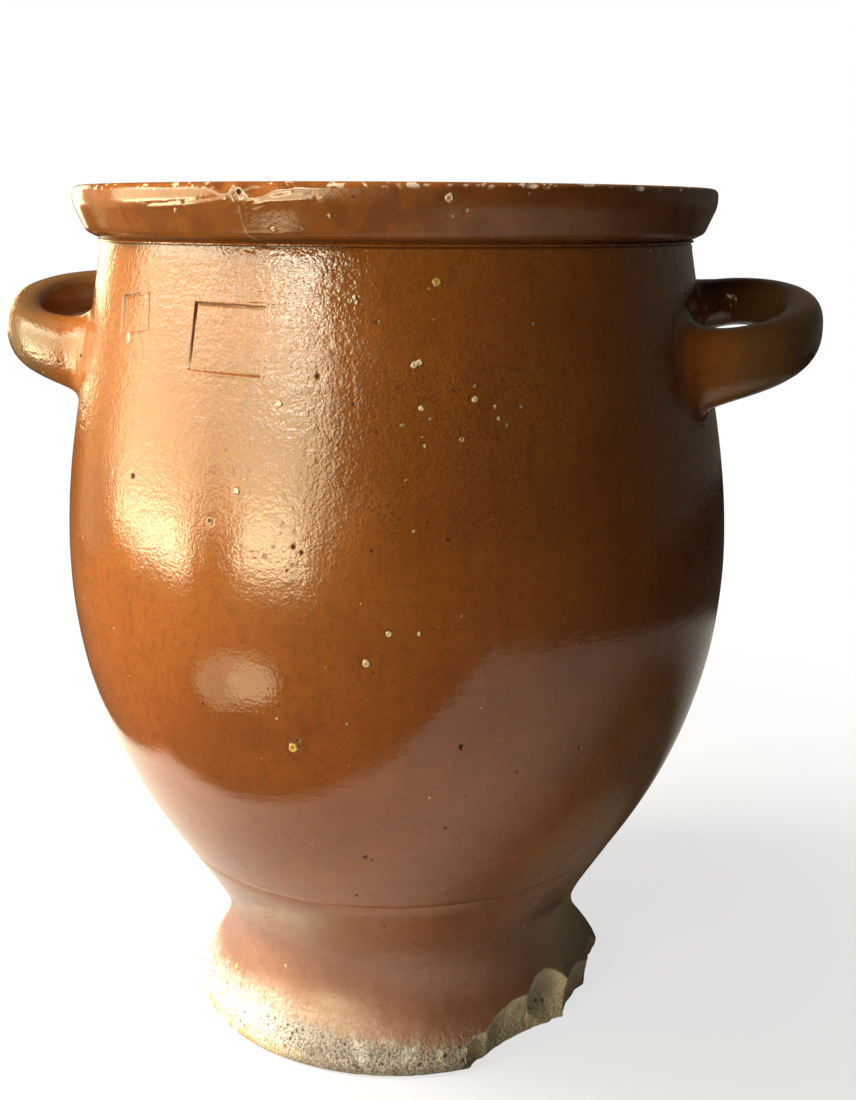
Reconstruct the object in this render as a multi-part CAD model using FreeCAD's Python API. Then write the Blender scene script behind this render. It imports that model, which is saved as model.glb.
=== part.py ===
import FreeCAD, Part
import math
import os

# A confit pot: a wheel-thrown stoneware storage pot, glazed inside and out down to the foot.
# A thick collar rim stands on a short neck, the belly swells below it and draws in to a waist,
# and the waist spreads again into a solid flared foot with a dished underside.
# Two strap loop handles are pressed on at the shoulder, opposite each other along X. Each loop
# climbs from a low root in front to a higher root behind, and the clay is smeared out over the
# wall where it joins. The pot was fired as one piece, so it is one solid.
# Lengths are in millimetres. The origin is the centre of the standing face, +Z is up, and
# the side with the chipped foot and the nicked rim faces -Y.

Vector = FreeCAD.Vector
AXIS = Vector(0, 0, 1)
ORIGIN = Vector(0, 0, 0)

# The standing ring and the dish inside it
BASE_R = 95.5
BASE_RING_WIDTH = 24.0
BASE_DISH_DEPTH = 3.0

# The foot: its rounded edge, its flare and the waist above
FOOT_R = 98.0
FOOT_EDGE_Z = 4.5
FLARE_R, FLARE_Z = 90.6, 15.0
WAIST_R, WAIST_Z = 82.8, 38.5

# The belly's outside, from the waist up to the neck
FLANK_LOW_R, FLANK_LOW_Z = 90.6, 60.0
FLANK_HIGH_R, FLANK_HIGH_Z = 121.3, 110.0
TURN_R, TURN_Z = 139.0, 155.0
BELLY_R, BELLY_Z = 147.0, 212.0
SHOULDER_R, SHOULDER_Z = 139.8, 281.0
NECK_R, NECK_Z = 127.5, 347.6

# The thin bead under the collar, and the collar rim, whose underside slopes up and out
BEAD_HEIGHT = 1.4
BEAD_PROUD = 0.8
RIM_HEIGHT = 21.0
RIM_UNDERSIDE_RISE = 2.6
RIM_LOW_R = 132.8
RIM_TOP_R = 138.0
RIM_LOW_ROUND = 4.0
RIM_EDGE_ROUND = 2.6
RIM_INNER_ROUND = 6.0

# Wall and floor
WALL = 9.0
FLOOR_THICKNESS = 14.0

# The two loop handles, whose straps climb from the front and thin towards the back
HANDLE_FRONT_Z = 300.0
HANDLE_BACK_Z = 321.5
HANDLE_RISE = 3.5
HANDLE_HALF_SPAN = 36.0
HANDLE_REACH = 183.5
STRAP_THICKNESS = 18.0
STRAP_FRONT_HEIGHT = 28.0
STRAP_BACK_HEIGHT = 20.0

# The roots, where the strap spreads and sags towards the wall over a length called the smear
ROOT_FRONT_HEIGHT = 41.0
ROOT_BACK_HEIGHT = 26.0
ROOT_THICKNESS = 29.0
ROOT_DROOP = 3.5
ROOT_SMEAR = 9.0
ROOT_SINK = 6.0

# Scars of broken clay, each (degrees from -Y towards +X, height of the middle of the scar,
# how round the scar is, as the radius of the ball that fits it, depth of the bite)
FOOT_FLAKES = (
    (50.0, 0.0, 90.0, 13.0),
    (60.5, 15.0, 24.0, 15.0),
    (45.0, 8.0, 20.0, 13.0),
    (35.5, 6.0, 12.0, 8.5),
    (76.0, 2.0, 50.0, 10.5),
    (92.0, -4.0, 70.0, 8.5),
)
RIM_NICKS = (
    (-13.5, 0.8, 6.0, 2.4),
    (-8.0, 2.6, 14.0, 2.8),
)

# Values worked out from the sizes above
BEAD_TOP_Z = NECK_Z + BEAD_HEIGHT
TOP_Z = BEAD_TOP_Z + RIM_HEIGHT
FLOOR_Z = BASE_DISH_DEPTH + FLOOR_THICKNESS


def at(radius, height):
    """A point of the section, which is drawn in the XZ half-plane."""
    return Vector(radius, 0, height)


def line(start, end):
    return Part.LineSegment(start, end).toShape()


def arc(start, middle, end):
    return Part.Arc(start, middle, end).toShape()


def smooth(points, start_way, end_way):
    """A smooth curve through points that leaves and arrives in the two ways given."""
    curve = Part.BSplineCurve()
    curve.interpolate(Points=points, InitialTangent=start_way, FinalTangent=end_way)
    return curve


def corner(before, point, after, radius):
    """Rounds a corner of the section: the two points where it starts and ends, and the arc."""
    to_before = (before - point).normalize()
    to_after = (after - point).normalize()
    half = to_before.getAngle(to_after) / 2
    start = point + to_before * (radius / math.tan(half))
    end = point + to_after * (radius / math.tan(half))
    centre = point + (to_before + to_after).normalize() * (radius / math.sin(half))
    middle = centre + (point - centre).normalize() * radius
    return start, end, arc(start, middle, end)


def belly_curve():
    """The outside from the waist to the neck."""
    stations = [
        at(WAIST_R, WAIST_Z),
        at(FLANK_LOW_R, FLANK_LOW_Z),
        at(FLANK_HIGH_R, FLANK_HIGH_Z),
        at(TURN_R, TURN_Z),
        at(BELLY_R, BELLY_Z),
        at(SHOULDER_R, SHOULDER_Z),
        at(NECK_R, NECK_Z),
    ]
    return smooth(stations, AXIS, Vector(-0.15, 0, 1))


def inside_curve(outside):
    """The inside of the wall, one wall in from the outside curve all the way up."""
    span_count = 9
    first, last = outside.FirstParameter, outside.LastParameter
    points = []
    for step in range(span_count + 1):
        parameter = first + (last - first) * step / span_count
        way = outside.tangent(parameter)[0]
        points.append(outside.value(parameter) + Vector(-way.z, 0, way.x) * WALL)
    return smooth(points, AXIS, outside.tangent(last)[0])


def foot_edges():
    """The dished underside, the standing ring and the flared foot, up to the waist."""
    ring_inner = at(BASE_R - BASE_RING_WIDTH, 0)
    ring_outer = at(BASE_R, 0)
    edge = at(FOOT_R, FOOT_EDGE_Z)
    bulge_r = BASE_R + (FOOT_R - BASE_R) * math.sqrt(0.5)
    bulge_z = FOOT_EDGE_Z * (1 - math.sqrt(0.5))
    flare = smooth([edge, at(FLARE_R, FLARE_Z), at(WAIST_R, WAIST_Z)], Vector(-0.45, 0, 1), AXIS)
    return [
        line(at(0, BASE_DISH_DEPTH), ring_inner),
        line(ring_inner, ring_outer),
        arc(ring_outer, at(bulge_r, bulge_z), edge),
        flare.toShape(),
    ]


def rim_edges(inside_top):
    """The bead, the collar and its flat top, from the neck down to the top of the inside."""
    bead_low = at(NECK_R, NECK_Z)
    bead_out = at(NECK_R + BEAD_PROUD, NECK_Z + BEAD_HEIGHT / 2)
    bead_high = at(NECK_R, BEAD_TOP_Z)
    low = at(RIM_LOW_R, BEAD_TOP_Z + RIM_UNDERSIDE_RISE)
    top = at(RIM_TOP_R, TOP_Z)
    mouth = at(inside_top.x, TOP_Z)
    low_start, low_end, low_arc = corner(bead_high, low, top, RIM_LOW_ROUND)
    top_start, top_end, top_arc = corner(low, top, mouth, RIM_EDGE_ROUND)
    mouth_start, mouth_end, mouth_arc = corner(top, mouth, inside_top, RIM_INNER_ROUND)
    return [
        arc(bead_low, bead_out, bead_high),
        line(bead_high, low_start),
        low_arc,
        line(low_end, top_start),
        top_arc,
        line(top_end, mouth_start),
        mouth_arc,
        line(mouth_end, inside_top),
    ]


def floor_edges(inside_low):
    """The inside from the foot of the wall round to the floor, and back down the axis."""
    turn = inside_low.z - FLOOR_Z
    bend = turn * (1 - math.sqrt(0.5))
    floor_edge = at(inside_low.x - turn, FLOOR_Z)
    return [
        arc(inside_low, at(inside_low.x - bend, FLOOR_Z + bend), floor_edge),
        line(floor_edge, at(0, FLOOR_Z)),
        line(at(0, FLOOR_Z), at(0, BASE_DISH_DEPTH)),
    ]


def vessel():
    """The thrown pot without its handles: the section turned about the axis."""
    outside = belly_curve()
    inside = inside_curve(outside)
    inside_low = inside.value(inside.FirstParameter)
    inside_top = inside.value(inside.LastParameter)
    edges = foot_edges() + [outside.toShape()] + rim_edges(inside_top)
    edges += [inside.toShape()] + floor_edges(inside_low)
    section = Part.Face(Part.Wire(edges))
    return section.revolve(ORIGIN, AXIS, 360)


def wall_radius(height):
    """The outside radius of the belly at a height."""
    level = Part.LineSegment(at(0, height), at(2 * BELLY_R, height))
    return max(point.X for point in belly_curve().intersect(level))


def between(start, end, share):
    return start + (end - start) * share


def strap_section(centre, outward, thickness, height):
    """One closed cross-section of a handle's strap, an upright oval with full sides."""
    corner_count = 16
    fullness = 0.8
    points = []
    for step in range(corner_count):
        angle = 2 * math.pi * step / corner_count
        across = math.copysign(abs(math.cos(angle)) ** fullness, math.cos(angle))
        along = math.copysign(abs(math.sin(angle)) ** fullness, math.sin(angle))
        points.append(centre + outward * (across * thickness / 2) + AXIS * (along * height / 2))
    curve = Part.BSplineCurve()
    curve.interpolate(Points=points, PeriodicFlag=True)
    return Part.Wire(curve.toShape())


def strap_at(travel, root_x, bend_x):
    """The cross-section at a distance along the strap from its middle, to the back if positive."""
    side = math.copysign(1, travel)
    half_bend = HANDLE_HALF_SPAN * math.pi / 2
    straight = max(abs(travel) - half_bend, 0)
    turn = (abs(travel) - straight) / HANDLE_HALF_SPAN
    from_root = half_bend + bend_x - root_x - abs(travel)
    flare = math.exp(-max(from_root, 0) / ROOT_SMEAR)
    share = 0.5 + side * math.sin(turn) / 2
    x = bend_x + HANDLE_HALF_SPAN * math.cos(turn) - straight
    y = side * HANDLE_HALF_SPAN * math.sin(turn)
    z = between(HANDLE_FRONT_Z, HANDLE_BACK_Z, share)
    z += HANDLE_RISE * math.cos(turn) - ROOT_DROOP * flare
    strap_height = between(STRAP_FRONT_HEIGHT, STRAP_BACK_HEIGHT, share)
    root_height = between(ROOT_FRONT_HEIGHT, ROOT_BACK_HEIGHT, share)
    return strap_section(
        Vector(x, y, z),
        Vector(math.cos(turn), side * math.sin(turn), 0),
        between(STRAP_THICKNESS, ROOT_THICKNESS, flare),
        between(strap_height, root_height, flare),
    )


def handle():
    """The loop on the +X side: a strap bent round from its front root to its back root."""
    root_z = (HANDLE_FRONT_Z + HANDLE_BACK_Z) / 2
    root_x = math.sqrt(wall_radius(root_z) ** 2 - HANDLE_HALF_SPAN**2)
    bend_x = HANDLE_REACH - STRAP_THICKNESS / 2 - HANDLE_HALF_SPAN
    reach = HANDLE_HALF_SPAN * math.pi / 2 + bend_x - root_x + ROOT_SINK
    span_count = 18
    travels = [reach * (2 * step / span_count - 1) for step in range(span_count + 1)]
    return Part.makeLoft([strap_at(t, root_x, bend_x) for t in travels], True, False)


def flake(azimuth, height, edge_radius, scar_radius, depth):
    """The ball that leaves one shell-shaped scar in an edge of the pot."""
    turn = math.radians(azimuth)
    distance = edge_radius + scar_radius - depth
    centre = Vector(distance * math.sin(turn), -distance * math.cos(turn), height)
    return Part.makeSphere(scar_radius, centre)


def pot():
    right = handle()
    left = right.mirror(ORIGIN, Vector(1, 0, 0))
    scars = [flake(a, z, FOOT_R, r, d) for a, z, r, d in FOOT_FLAKES]
    scars += [flake(a, TOP_Z + z, RIM_TOP_R, r, d) for a, z, r, d in RIM_NICKS]
    return vessel().fuse([right, left]).cut(scars)


def main():
    os.makedirs("parts", exist_ok=True)
    shape = pot()
    solid = shape.Solids[0]
    print("solids", len(shape.Solids), "valid", shape.isValid(), "volume_l", shape.Volume / 1e6)
    print("box", shape.optimalBoundingBox())
    solid.exportStep("parts/confit_pot.step")


main()
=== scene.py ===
import math

import bmesh
import bpy
import numpy as np
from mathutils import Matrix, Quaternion, Vector, noise
from mathutils.bvhtree import BVHTree


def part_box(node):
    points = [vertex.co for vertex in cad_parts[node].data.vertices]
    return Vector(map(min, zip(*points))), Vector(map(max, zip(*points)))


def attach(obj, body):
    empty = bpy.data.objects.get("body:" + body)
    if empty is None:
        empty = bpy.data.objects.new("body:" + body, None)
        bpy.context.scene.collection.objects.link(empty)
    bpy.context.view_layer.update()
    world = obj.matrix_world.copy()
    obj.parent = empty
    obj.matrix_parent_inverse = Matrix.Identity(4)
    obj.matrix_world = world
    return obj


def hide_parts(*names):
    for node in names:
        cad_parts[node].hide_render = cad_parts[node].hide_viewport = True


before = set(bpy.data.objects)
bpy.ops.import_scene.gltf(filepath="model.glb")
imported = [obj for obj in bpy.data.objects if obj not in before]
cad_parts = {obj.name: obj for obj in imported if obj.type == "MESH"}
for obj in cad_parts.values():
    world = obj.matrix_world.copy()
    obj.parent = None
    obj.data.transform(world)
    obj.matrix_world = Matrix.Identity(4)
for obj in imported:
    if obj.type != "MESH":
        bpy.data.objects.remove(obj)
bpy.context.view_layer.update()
_, pot_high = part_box("confit_pot")

# A confit pot of brown-glazed stoneware: one mesh with its collar rim, two loop handles, chipped
# foot and nicked rim, on a pale table in soft light from the left.
# Lengths are in metres. An azimuth is in degrees, from -Y round towards +X.

# The camera. Its picture is 856 pixels wide and 1100 high, and its optical centre lies off the
# middle of the picture. It stands a little to the right of -Y and looks slightly down.
PICTURE_WIDTH, PICTURE_HEIGHT = 856, 1100
FOCAL_PIXELS = 1355.2
CENTRE_PIXEL_X, CENTRE_PIXEL_Y = 461.0, 514.8
SENSOR_LONG_SIDE_MM = 36.0
CAMERA_AZIMUTH = 12.8
CAMERA_DISTANCE = 0.609
CAMERA_HEIGHT = 0.3591
CAMERA_PITCH_DOWN = 12.49
CAMERA_TURN_RIGHT = 2.63
CAMERA_ROLL = 0.27

# Section of the pot, radius then height. The top, the belly and the handles' reach come from
# the frame.
BASE_R = 0.0955
BASE_RING_WIDTH = 0.024
BASE_DISH_DEPTH = 0.003
FOOT_R, FOOT_EDGE_Z = 0.098, 0.0045
FLARE_R, FLARE_Z = 0.0906, 0.015
WAIST_R, WAIST_Z = 0.0828, 0.0385
BELLY_R, BELLY_Z = pot_high.y, 0.212
NECK_R, NECK_Z = 0.1275, 0.3476
BELLY_STATIONS = (
    (WAIST_R, WAIST_Z), (0.0906, 0.060), (0.1213, 0.110), (0.139, 0.155), (BELLY_R, BELLY_Z),
    (0.1398, 0.281), (NECK_R, NECK_Z),
)
FOOT_WAY, NECK_WAY = (-0.45, 1), (-0.15, 1)
TOP_Z = pot_high.z
BEAD_TOP_Z = TOP_Z - 0.021
BEAD_PROUD = 0.0012
RIM_UNDERSIDE_RISE = 0.0026
RIM_LOW_R, RIM_TOP_R = 0.1328, 0.138
RIM_UPRIGHT_HEIGHT, RIM_UPRIGHT_BEND = 0.0071, 0.012
BEAD_GROOVE_DEPTH, BEAD_GROOVE_HALF_WIDTH = 0.0007, 0.00050
RIM_LOW_ROUND, RIM_EDGE_ROUND, RIM_INNER_ROUND = 0.004, 0.0026, 0.006
RIM_INSIDE_R = 0.1300
WALL = 0.009
FLOOR_Z = 0.017

# Spacing of the mesh's rings up the outside and down the inside, the rings underneath and on the
# floor, and the columns, which stand closer together up to the first of two angles from the camera
FOOT_STEP, INCISED_STEP, BELLY_STEP, SHOULDER_STEP = 0.0016, 0.0007, 0.0048, 0.0030
BEAD_STEP, RIM_STEP, MOUTH_STEP, INSIDE_STEP = 0.00034, 0.0010, 0.0022, 0.014
SHOULDER_STEP_Z = 0.283
DISH_RINGS, STAND_RINGS, FLOOR_RINGS = 9, 6, 6
COLUMNS, COLUMN_CROWDING, CROWDED_WITHIN, TURN_SAMPLES = 194, 1.6, (95, 140), 7201

# Longest edges of the mesh where it is made finer
ROOT_EDGE, SCAR_EDGE, FAINT_LINE_EDGE = 0.0022, 0.0008, 0.0009
PRESS_EDGE, WRINKLE_EDGE, SPOT_EDGE, CUT_EDGE = 0.0005, 0.0008, 0.00045, 0.00035
# How far round each it is made finer, for spots and nicks in their own size, and how far apart
# the test places stand along a wrinkle or a cut
FAINT_LINE_REACH, PRESS_REACH, SPOT_REACH = 0.0012, 0.0007, 1.2
WRINKLE_REACH, WRINKLE_SPACING, CUT_REACH, CUT_SPACING = 0.0014, 0.002, 0.0003, 0.0006

# The loop handles
HANDLE_REACH = pot_high.x
HANDLE_FRONT_Z, HANDLE_BACK_Z = 0.300, 0.3215
HANDLE_RISE = 0.0035
HANDLE_HALF_SPAN = 0.036
STRAP_THICKNESS = 0.018
STRAP_FRONT_HEIGHT, STRAP_BACK_HEIGHT = 0.028, 0.020
ROOT_FRONT_HEIGHT, ROOT_BACK_HEIGHT = 0.041, 0.026
ROOT_THICKNESS = 0.029
ROOT_DROOP, ROOT_SMEAR, ROOT_SINK = 0.0035, 0.009, 0.006
# The smooth union at the roots: its width, how deep in the wall it stops, the share of the way
# that each step goes, how many steps, the least slope, and the part of the pot that it works on.
# FINE_WALL is the part of the wall beside the roots whose mesh is made finer.
ROOT_BLEND, ROOT_BLEND_DEEPEST, ROOT_BLEND_STEP = 0.006, -0.004, 0.8
ROOT_BLEND_STEPS, ROOT_BLEND_LEAST_SLOPE = 4, 0.2
ROOTS_LOW_Z, ROOTS_TOP_Z, ROOTS_INNER_X = 0.25, 0.3475, 0.09
FINE_WALL_X, FINE_WALL_Y, FINE_WALL_R, FINE_WALL_Z = 0.112, 0.060, 0.150, 0.268
STRAP_SIDES, STRAP_RINGS, STRAP_ROUNDNESS = 36, 68, 0.8

# Broken edges: azimuth, height, radius of the ball that fits the scar, depth of the bite.
# The heights of the rim's dents are above the rim. Glaze has run over them.
FOOT_FLAKES = (
    (50.0, 0.0, 0.090, 0.013),
    (60.5, 0.015, 0.024, 0.015),
    (45.0, 0.008, 0.020, 0.013),
    (35.5, 0.006, 0.012, 0.0085),
    (76.0, 0.002, 0.050, 0.0105),
    (92.0, -0.004, 0.070, 0.0085),
)
RIM_DENTS = (
    (-13.5, 0.0008, 0.006, 0.0024),
    (-8.0, 0.0026, 0.014, 0.0028),
)
RIM_DENT_SOFTNESS = 0.0014
# Where the scars can be: below a height and outside a radius, and the azimuths they lie between
FOOT_TOP_Z, FOOT_INNER_R, SCAR_AZIMUTHS = WAIST_Z + 0.01, 0.0745, (20, 112)
SCAR_MARGIN = 0.0006
# Noise on the scars: height, size of its lumps and seed
SCAR_ROUGHNESS = ((0.0005, 0.006, 3), (0.0002, 0.0018, 5))
SCAR_ROUGHEST = 0.0004

# The line that was incised round the foot of the belly
INCISED_Z = 0.083
INCISED_DEPTH = 0.00045
INCISED_HALF_WIDTH = 0.0008
INCISED_REACH = 0.003

# Blemishes in the glaze: pixel x and y of the picture, radius in metres, and what it is
PICTURE_SPOTS = (
    (437, 282, 0.0015, "ochre"), (414.5, 365, 0.0013, "grain"), (419.5, 362.5, 0.0012, "grain"),
    (366, 664, 0.0014, "grain"), (293, 748.5, 0.0019, "ochre"), (298, 741, 0.0008, "pit"),
    (389, 634.5, 0.0011, "grain"), (420, 634, 0.0009, "grain"), (421.8, 408.3, 0.0011, "grain"),
    (429.5, 419.2, 0.00081, "grain"), (402, 425, 0.0008, "grain"), (421.6, 437, 0.00068, "grain"),
    (425.3, 446, 0.00081, "grain"), (462.3, 439.3, 0.0010, "ring"), (475.4, 399.4, 0.0012, "grain"),
    (474.4, 385.7, 0.00081, "grain"), (493.5, 399, 0.0016, "stain"), (496, 406.5, 0.00081, "grain"),
    (499.6, 418.6, 0.00081, "grain"), (506.3, 424.6, 0.00081, "grain"), (520.7, 406.8, 0.00068, "grain"),
    (406, 480.5, 0.00068, "grain"), (413.5, 531.5, 0.00068, "grain"), (350.5, 300.5, 0.0009, "grain"),
    (355, 297.5, 0.00095, "grain"), (357, 302, 0.00081, "grain"), (347, 264, 0.00068, "grain"),
    (353.5, 270, 0.00054, "grain"), (376.5, 322, 0.0006, "pit"), (449.5, 197.5, 0.0016, "grain"),
    (238.5, 191.5, 0.0009, "pit"), (182.5, 203, 0.0006, "pit"), (467, 211, 0.00081, "grain"),
    (452, 216.5, 0.00081, "grain"), (175, 211, 0.0009, "grain"), (147, 204, 0.0006, "pit"),
    (273, 229.5, 0.0010, "grain"), (330, 216.5, 0.00081, "grain"), (128, 336, 0.0014, "grain"),
    (132, 476, 0.0010, "pit"), (318, 376, 0.0007, "pit"), (282.5, 523, 0.0012, "stain"),
    (280.5, 533, 0.0008, "stain"), (294.5, 532, 0.0008, "stain"), (273, 547.5, 0.0009, "stain"),
    (264.5, 557, 0.0013, "stain"), (291.5, 566, 0.0010, "stain"), (293.5, 547.5, 0.0007, "pit"),
    (301.5, 553.5, 0.0007, "pit"), (287, 571, 0.0005, "pit"), (236, 491, 0.0011, "grain"),
    (209.5, 521, 0.0013, "ring"), (279, 404, 0.0012, "grain"), (366, 858, 0.0010, "pit"),
    (372, 861, 0.0006, "pit"), (357, 896, 0.0007, "pit"), (462, 748, 0.0012, "pit"),
    (518, 773, 0.0007, "pit"), (580, 749, 0.0007, "pit"), (466, 797, 0.0007, "pit"),
    (446, 829, 0.0008, "pit"), (236, 966, 0.0013, "ochre"), (285, 966, 0.00081, "grain"),
    (338, 977, 0.0005, "pit"), (536.5, 1000, 0.0009, "pit"), (543, 1000, 0.0009, "pit"),
    (58.5, 362.5, 0.0006, "pit"), (80, 356, 0.0007, "pit"),
)

# Scratches and the hairline crack under the rim: pixels from end to end, and half the width
PICTURE_LINES = (
    ((240, 186), (238, 203), (241, 221), (247, 235), (257, 240), (266, 252), 0.00022),
    ((240, 190), (231, 185), 0.00035),
    ((241, 191), (250, 186), (262, 184), 0.00035),
    ((340, 629), (348, 606), (354, 592), 0.00013),
    ((486.5, 521), (493, 519.3), 0.00022),
    ((421, 534), (427, 537), 0.00024),
    ((132, 639), (139, 648), 0.00024),
    ((420, 660), (398, 651), 0.00012),
)

# Nicks along the rim's edge: pixel x of the middle and half the length in pixels, at the
# pixel height where the rim stands against the background
RIM_EDGE_PIXEL_Y = 187.0
RIM_EDGE_NICKS = (
    (144, 7), (182.5, 4.5), (222, 4.5), (381, 2), (398, 6), (415, 2.5), (426.5, 6.5), (450, 6),
    (466, 6), (478.5, 5.5), (510, 5), (533, 9), (555.5, 4.5), (588.5, 3.5), (611.5, 5), (640, 11),
    (679, 9),
)
METRES_PER_PIXEL = 0.00038
NICK_DEPTH_SHARE, NICK_LEAST_DEPTH = 0.20, 0.00015
NICK_INSET, NICK_OUT, NICK_UP = 0.0007, 0.75, 0.66

# Two plain squares pressed into the wall below the rim, with nothing in them: the pixels of the
# middle, width and height in metres, how many degrees it leans, and its depth
PICTURE_PRESSES = (
    (225.5, 339, 0.0317, 0.0247, -1.5, 0.00110),
    (134, 313, 0.0200, 0.0150, 7, 0.00080),
)
# The width of a square's pressed edge, and the depth at which its shadow is fully dark
PRESS_RIM_WIDTH = 0.0012
PRESS_DEEPEST = 0.0011

# Grains smaller than this show pale on one side and a painted shadow on the other
SPLIT_GRAIN_RADIUS = 0.0010

# Wrinkles in the glaze on the rim, on both sides of the crack: pixels from end to end
PICTURE_WRINKLES = (
    ((244, 205), (250, 198.5), (264, 194), (290, 190)),
    ((252, 207), (266, 202), (284, 201), (312, 199)),
    ((228, 184), (235, 192), (238, 200)),
    ((150, 208), (176, 206), (206, 203), (222, 200)),
)
WRINKLE_HEIGHT, WRINKLE_HALF_WIDTH = 0.00022, 0.0010

# A second, fainter line that climbs to the right: azimuth and height of its two ends
FAINT_LINE_START, FAINT_LINE_END = (18.0, 0.1062), (60.0, 0.1142)
FAINT_LINE_DEPTH = 0.00016
# The shares of its length where it has reached its full depth and where it begins to fade
FAINT_LINE_ENDS = (0.15, 0.7)
# Each line is cut only into what lies farther from the axis than this
INCISED_INNER_R, FAINT_LINE_INNER_R = 0.099, 0.11

# How far the thrown wall falls short of a true turned shape, the sizes of the lumps in that, and
# the radius inside which the floor stays flat
UNEVEN_MEAN, UNEVEN_SLOW, UNEVEN_RIPPLE, UNEVEN_MOST = 0.00035, 0.00030, 0.00009, 0.001
UNEVEN_BANDS, UNEVEN_LOW_BANDS = 0.00004, 0.00008
SLOW_SIZE, RIPPLE_SIZE, BAND_SIZE = 0.075, 0.017, 0.0075
THROWN_INNER_R = 0.05

# The loss of clay over which a chip comes to show, and the least angle of a sharp edge in degrees
CLAY_SHOWS, SHARP_ANGLE = (0.00005, 0.0003), 32

# The glaze's lip and runs above the crust on the foot, and the grain in the crust
LIP_Z, LIP_WAVE, LIP_AZIMUTH, LIP_HEIGHT = 0.0235, 0.0030, -12, 0.00030
RUNS_Z, RUN_HEIGHT = 0.018, 0.00040
CRUST_TOP_Z, CRUST_GRAIN = 0.016, 0.0006

# Colours of the pot
GLAZE_RED = (0.258, 0.073, 0.015)
GLAZE_OLIVE = (0.255, 0.081, 0.015)
GLAZE_PINK = (0.235, 0.092, 0.050)
FOOT_PINK = (0.260, 0.112, 0.072)
GLAZE_DARK = (0.120, 0.036, 0.010)
FOOT_OLIVE = (0.360, 0.270, 0.130)
HANDLE_BROWN = (0.100, 0.056, 0.024)
# Dark specks, and painted shade in the bead's grooves
SPECK_AND_SHADE_DARK = (0.052, 0.018, 0.008)
SPECK_PALE = (0.560, 0.420, 0.280)
CRUST_DARK = (0.130, 0.102, 0.086)
CRUST_TAN = (0.350, 0.300, 0.262)
CRUST_PALE = (0.760, 0.730, 0.680)
CRUST_PINK = (0.420, 0.300, 0.220)
CRUST_ORANGE = (0.560, 0.370, 0.160)
CLAY_OLIVE = (0.720, 0.580, 0.430)
CLAY_TAN = (0.840, 0.730, 0.570)
GRAIN_CREAM = (0.660, 0.540, 0.370)
GRAIN_OCHRE = (0.600, 0.380, 0.090)
# Pits, and painted shadow in the pressed squares' edges and beside small grains
PIT_AND_SHADOW_BROWN = (0.030, 0.014, 0.008)
GLOSS_LOW, GLOSS_HIGH, GLOSS_NECK, GLOSS_FOOT = 0.08, 0.19, 0.12, 0.36
GLOSS_RIM, GLOSS_RIM_RIGHT = 0.13, 0.30
GLOSS_VEIL, GLOSS_CRUST, GLOSS_CLAY, GLOSS_GRAIN, GLOSS_PIT = 0.60, 0.9, 0.72, 0.55, 0.7
# Sizes of the lumps of noise in the glaze and the crust, and spacing of the specks
CLOUD_SIZE, RIM_CLOUD_SIZE, MOTTLE_SIZE, FINE_SIZE = 0.055, 0.013, 0.0040, 0.0012
STREAK_SIZE, STREAK_STRETCH = 0.006, (1.0, 1.0, 0.07)
WIPE_SIZE, WIPE_STRETCH = 0.0045, (0.10, 0.10, 1.0)
GRIT_SIZE, LUMP_SIZE, SAND_SIZE = 0.0018, 0.008, 0.0010
SPECK_SPACING, CRUMB_SPACING = 0.0068, 0.0025
# Heights between which one look passes into another
TO_RIM, TO_COLLAR = (0.349, 0.351), (0.3475, 0.352)
FROM_FOOT, TO_HANDLE = (0.035, 0.075), (0.265, 0.275)
# Heights of the fine relief, in metres: first low on the pot, then high on it
MOTTLE_RELIEF, FINE_RELIEF = (0.00005, 0.00026), (0.00004, 0.00013)
STREAK_RELIEF, WIPE_RELIEF = (0.00002, 0.00007), (0.00006, 0.00014)
CRUST_RELIEF, SCAR_RELIEF = (0.0018, 0.0), 0.0002
GLAZE_IOR = 1.7

# Light. Places are given as the camera sees them: x to its right, y away from it. A window stands
# over a line on the ground, between two heights, and the last number is the radiance of its face.
WINDOW_COLOR = (1.0, 0.87, 0.52)
WINDOWS = (
    ("window_left", (-1.14, -0.62), (-1.16, 0.333), 0.20, 0.84, 4.8),
    ("window_front_left", (-0.50, -1.26), (-1.10, -0.66), 0.28, 0.84, 5.0),
    ("bright_left_1", (-1.195, -0.460), (-1.260, -0.222), 0.03, 0.20, 14.0),
    ("bright_left_2", (-1.260, -0.220), (-1.280, 0.020), 0.06, 0.20, 14.0),
    ("bright_left_3", (-1.280, 0.022), (-1.255, 0.240), 0.11, 0.20, 14.0),
    ("bright_front_left", (-0.64, -1.180), (-1.03, -0.84), 0.06, 0.28, 12.0),
    ("wall_left", (-1.16, 0.343), (-0.93, 0.84), 0.0, 0.60, 0.5),
    ("window_back_left", (-1.010, 0.970), (-0.640, 1.245), 0.21, 0.75, 5.5),
)
SKIES = (
    ("sky_left", (-1.04, -0.76), (-1.27, 0.20), 0.57, 0.78, 3.2),
    ("sky_front_left", (-0.57, -1.17), (-0.93, -0.91), 0.625, 0.76, 11.0),
)
SKY_COLOR = (0.90, 1.0, 0.92)
GLOW_AIM = (-0.055, -0.135, 0.2)
GLOWS = (
    ("ground_glow", (-0.305, -0.275, 0.030), (0.20, 0.085), 1.2),
    ("ground_glow_core", (-0.285, -0.300, 0.026), (0.11, 0.060), 1.3),
)
SUN_PLACE, SUN_AIM = (-1.02, -0.03, 1.30), (0.0, 0.0, 0.20)
SUN_SIZE, SUN_RADIANCE, SUN_COLOR = (0.6, 0.6), 48.0, (1.0, 0.96, 0.86)
ROOM_BRIGHT_WAY = (0.75, 1.0, 0.1)
ROOM_DARK, ROOM_BRIGHT = (0.018, 0.017, 0.013), (0.12, 0.11, 0.085)
FLOOR_SIZE = 1.6
TABLE_SEEN_COLOR = (0.60, 0.60, 0.60)
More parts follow.
